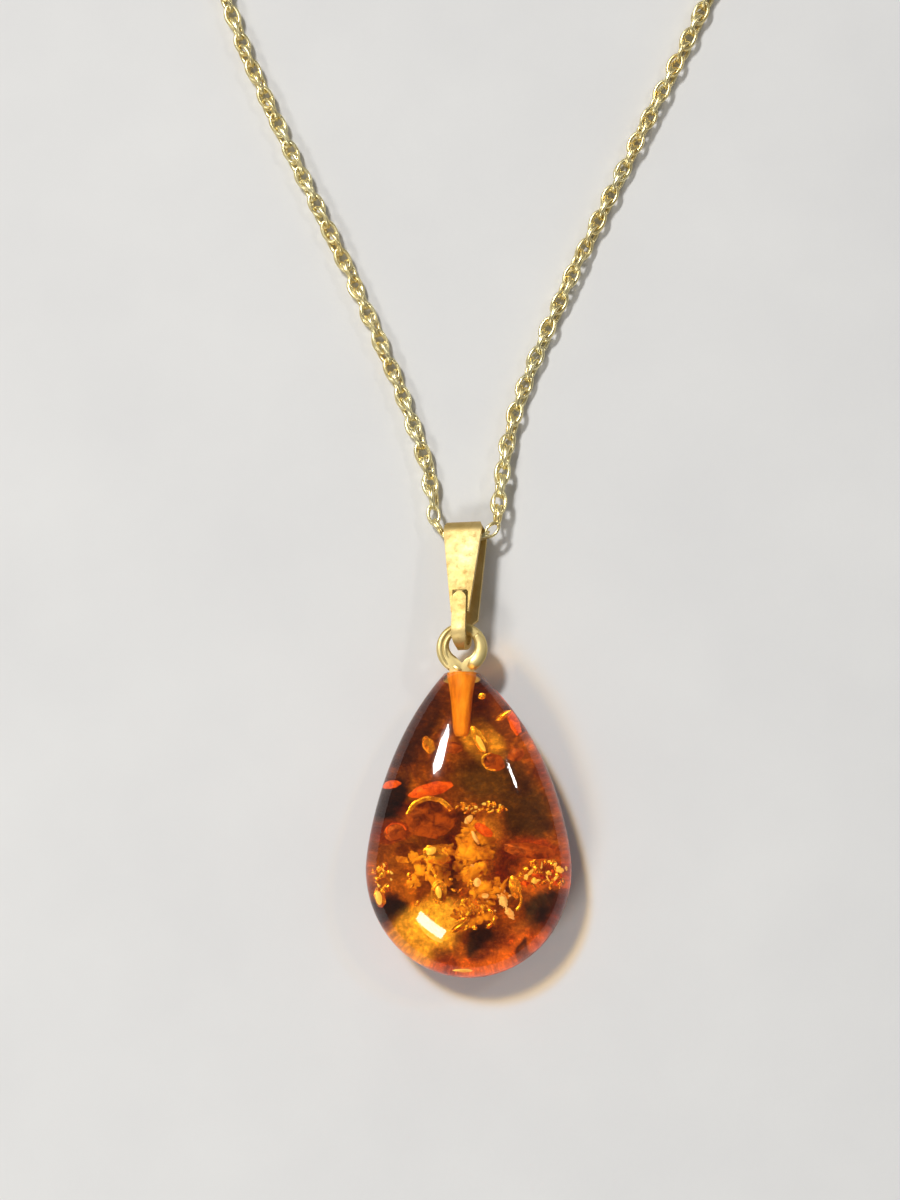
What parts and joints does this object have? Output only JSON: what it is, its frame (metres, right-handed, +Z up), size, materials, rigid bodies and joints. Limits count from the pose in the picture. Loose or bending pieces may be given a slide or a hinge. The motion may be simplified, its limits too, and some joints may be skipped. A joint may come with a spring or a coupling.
{
  "type": "pendant necklace",
  "caption": "Polished drop pendant with a glued eye peg and a folded bail, hung on a fine double-link chain with a spring-ring clasp.",
  "frame": {"origin": "middle of the drop's flat back, on the surface that the necklace lies on", "axes": "+Z up out of the surface through the drop's front, +Y from the drop towards the bail and the chain, +X to the right seen from the front"},
  "size_m": [0.0462, 0.1228, 0.0075],
  "materials": {
    "amber": "polished, translucent",
    "glue": "matt",
    "peg_gold": "satin",
    "bail_gold": "satin",
    "chain_gold": "polished",
    "clasp_gold": "polished",
    "spring_steel": "bright drawn"
  },
  "bodies": {
    "drop": {"amber_drop": "amber", "glue_fill": "glue", "eye_peg": "peg_gold"},
    "bail": {"bail": "bail_gold"},
    "chain": {"chain_left": "chain_gold", "chain_right": "chain_gold", "chain_coil": "chain_gold", "link_ring": "chain_gold", "end_ring": "chain_gold"},
    "clasp": {"clasp_tube": "clasp_gold", "clasp_eyelet": "clasp_gold", "clasp_spring": "spring_steel"},
    "bolt": {"clasp_bolt": "clasp_gold", "clasp_trigger": "clasp_gold"}
  },
  "joints": [
    {"name": "bail_swing", "type": "hinge", "parent": "drop", "child": "bail", "pos_m": [-0.00037, 0.01649, 0.0033], "axis": [1, 0, 0], "range_deg": [-80, 80]},
    {"name": "chain_swing", "type": "hinge", "parent": "bail", "child": "chain", "pos_m": [-0.00009, 0.02442, 0.00184], "axis": [0.9767, -0.0547, 0.2077], "range_deg": [-80, 80]},
    {"name": "clasp_swing", "type": "hinge", "parent": "chain", "child": "clasp", "pos_m": [0, 0.10085, 0.00072], "axis": [1, 0, 0], "range_deg": [-80, 80]},
    {"name": "bolt_slide", "type": "hinge", "parent": "clasp", "child": "bolt", "pos_m": [0, 0.09747, 0.00072], "axis": [0, 0, 1], "range_deg": [0, 48], "stiffness_Nm_per_rad": 0.00002, "springref_deg": -17.19, "deforming": ["clasp_spring"]}
  ]
}
